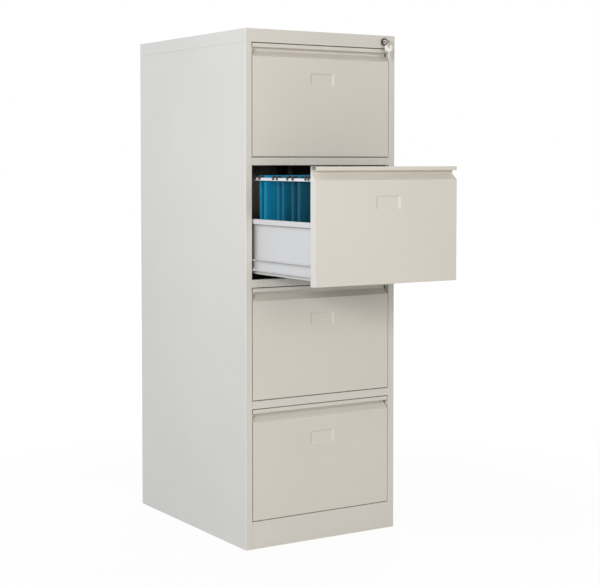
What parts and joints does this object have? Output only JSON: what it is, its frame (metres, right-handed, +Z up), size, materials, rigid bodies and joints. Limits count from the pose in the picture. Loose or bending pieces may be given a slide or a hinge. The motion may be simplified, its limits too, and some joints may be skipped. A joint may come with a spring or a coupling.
{
  "type": "filing cabinet",
  "caption": "Tall steel filing cabinet with stacked drawers on telescopic runners, lip handles over finger recesses, hanging-file rails and a key lock that lifts a lock bar.",
  "frame": {"origin": "middle of the case's footprint, on the floor", "axes": "+Z up, drawers open towards -Y, +X to the right seen from the front"},
  "size_m": [0.46, 0.894, 1.32],
  "materials": {
    "case_paint": "light grey powder coat, satin, fine texture",
    "front_paint": "light grey powder coat, satin, fine texture",
    "inner_paint": "light grey powder coat, satin",
    "rail_paint": "white paint on flat steel bar",
    "zinc_steel": "zinc-plated cold-rolled steel",
    "lock_chrome": "bright chrome plate",
    "key_nickel": "nickel-plated brass",
    "glide_plastic": "natural nylon",
    "file_card": "blue dyed card",
    "hook_plastic": "black moulded plastic"
  },
  "bodies": {
    "cabinet": {"side_panel_left": "case_paint", "side_panel_right": "case_paint", "back_panel": "inner_paint", "top_cap": "case_paint", "base_pan": "inner_paint", "kick_plate": "case_paint", "cross_rails": "case_paint", "uprights_left": "inner_paint", "uprights_right": "inner_paint", "cabinet_runners": "zinc_steel", "lock_housing": "lock_chrome", "lock_nut": "zinc_steel", "lock_bar_guides": "zinc_steel"},
    "drawer_1": {"drawer_1_front": "front_paint", "drawer_1_inner_front": "inner_paint", "drawer_1_sides": "inner_paint", "drawer_1_tray": "inner_paint", "drawer_1_file_rails": "rail_paint", "drawer_1_runners": "inner_paint", "drawer_1_lock_catch": "zinc_steel"},
    "runner_links_1": {"drawer_1_links": "inner_paint", "drawer_1_glides": "glide_plastic"},
    "drawer_2": {"drawer_2_front": "front_paint", "drawer_2_inner_front": "inner_paint", "drawer_2_sides": "inner_paint", "drawer_2_tray": "inner_paint", "drawer_2_file_rails": "rail_paint", "drawer_2_runners": "inner_paint", "drawer_2_lock_catch": "zinc_steel"},
    "runner_links_2": {"drawer_2_links": "inner_paint", "drawer_2_glides": "glide_plastic"},
    "drawer_3": {"drawer_3_front": "front_paint", "drawer_3_inner_front": "inner_paint", "drawer_3_sides": "inner_paint", "drawer_3_tray": "inner_paint", "drawer_3_file_rails": "rail_paint", "drawer_3_runners": "inner_paint", "drawer_3_lock_catch": "zinc_steel"},
    "runner_links_3": {"drawer_3_links": "inner_paint", "drawer_3_glides": "glide_plastic"},
    "drawer_4": {"drawer_4_front": "front_paint", "drawer_4_inner_front": "inner_paint", "drawer_4_sides": "inner_paint", "drawer_4_tray": "inner_paint", "drawer_4_file_rails": "rail_paint", "drawer_4_runners": "inner_paint", "drawer_4_lock_catch": "zinc_steel"},
    "runner_links_4": {"drawer_4_links": "inner_paint", "drawer_4_glides": "glide_plastic"},
    "lock_plug": {"lock_plug": "lock_chrome", "lock_cam": "zinc_steel"},
    "lock_bar": {"lock_bar": "zinc_steel"},
    "key": {"key": "key_nickel"},
    "key_ring": {"key_ring": "key_nickel"},
    "files": {"file_pockets": "file_card", "file_bars": "zinc_steel", "file_hooks": "hook_plastic"}
  },
  "joints": [
    {"name": "drawer_1_slide", "type": "slide", "parent": "cabinet", "child": "drawer_1", "axis": [0, -1, 0], "range_m": [0, 0.52]},
    {"name": "runner_links_1_slide", "type": "slide", "parent": "cabinet", "child": "runner_links_1", "axis": [0, -1, 0], "range_m": [0, 0.26]},
    {"name": "drawer_2_slide", "type": "slide", "parent": "cabinet", "child": "drawer_2", "axis": [0, -1, 0], "range_m": [-0.294, 0.226]},
    {"name": "runner_links_2_slide", "type": "slide", "parent": "cabinet", "child": "runner_links_2", "axis": [0, -1, 0], "range_m": [-0.147, 0.113]},
    {"name": "drawer_3_slide", "type": "slide", "parent": "cabinet", "child": "drawer_3", "axis": [0, -1, 0], "range_m": [0, 0.52]},
    {"name": "runner_links_3_slide", "type": "slide", "parent": "cabinet", "child": "runner_links_3", "axis": [0, -1, 0], "range_m": [0, 0.26]},
    {"name": "drawer_4_slide", "type": "slide", "parent": "cabinet", "child": "drawer_4", "axis": [0, -1, 0], "range_m": [0, 0.52]},
    {"name": "runner_links_4_slide", "type": "slide", "parent": "cabinet", "child": "runner_links_4", "axis": [0, -1, 0], "range_m": [0, 0.26]},
    {"name": "lock_turn", "type": "hinge", "parent": "cabinet", "child": "lock_plug", "pos_m": [0.194, -0.3, 1.303], "axis": [0, -1, 0], "range_deg": [0, 90]},
    {"name": "lock_bar_lift", "type": "slide", "parent": "cabinet", "child": "lock_bar", "axis": [0, 0, 1], "range_m": [0, 0.01273]},
    {"name": "key_pull", "type": "slide", "parent": "lock_plug", "child": "key", "axis": [0, -1, 0], "range_m": [0, 0.03]},
    {"name": "key_ring_swing", "type": "hinge", "parent": "key", "child": "key_ring", "pos_m": [0.194, -0.3214, 1.2981], "axis": [1, 0, 0], "range_deg": [-30, 30]},
    {"name": "files_slide", "type": "slide", "parent": "drawer_2", "child": "files", "axis": [0, 1, 0], "range_m": [-0.02, 0.265]}
  ],
  "couplings": [
    {"joint": "runner_links_1_slide", "follows": "drawer_1_slide", "ratio": 0.5},
    {"joint": "runner_links_2_slide", "follows": "drawer_2_slide", "ratio": 0.5},
    {"joint": "runner_links_3_slide", "follows": "drawer_3_slide", "ratio": 0.5},
    {"joint": "runner_links_4_slide", "follows": "drawer_4_slide", "ratio": 0.5},
    {"joint": "lock_turn", "follows": "lock_bar_lift", "rad_per_m": 123.4}
  ]
}
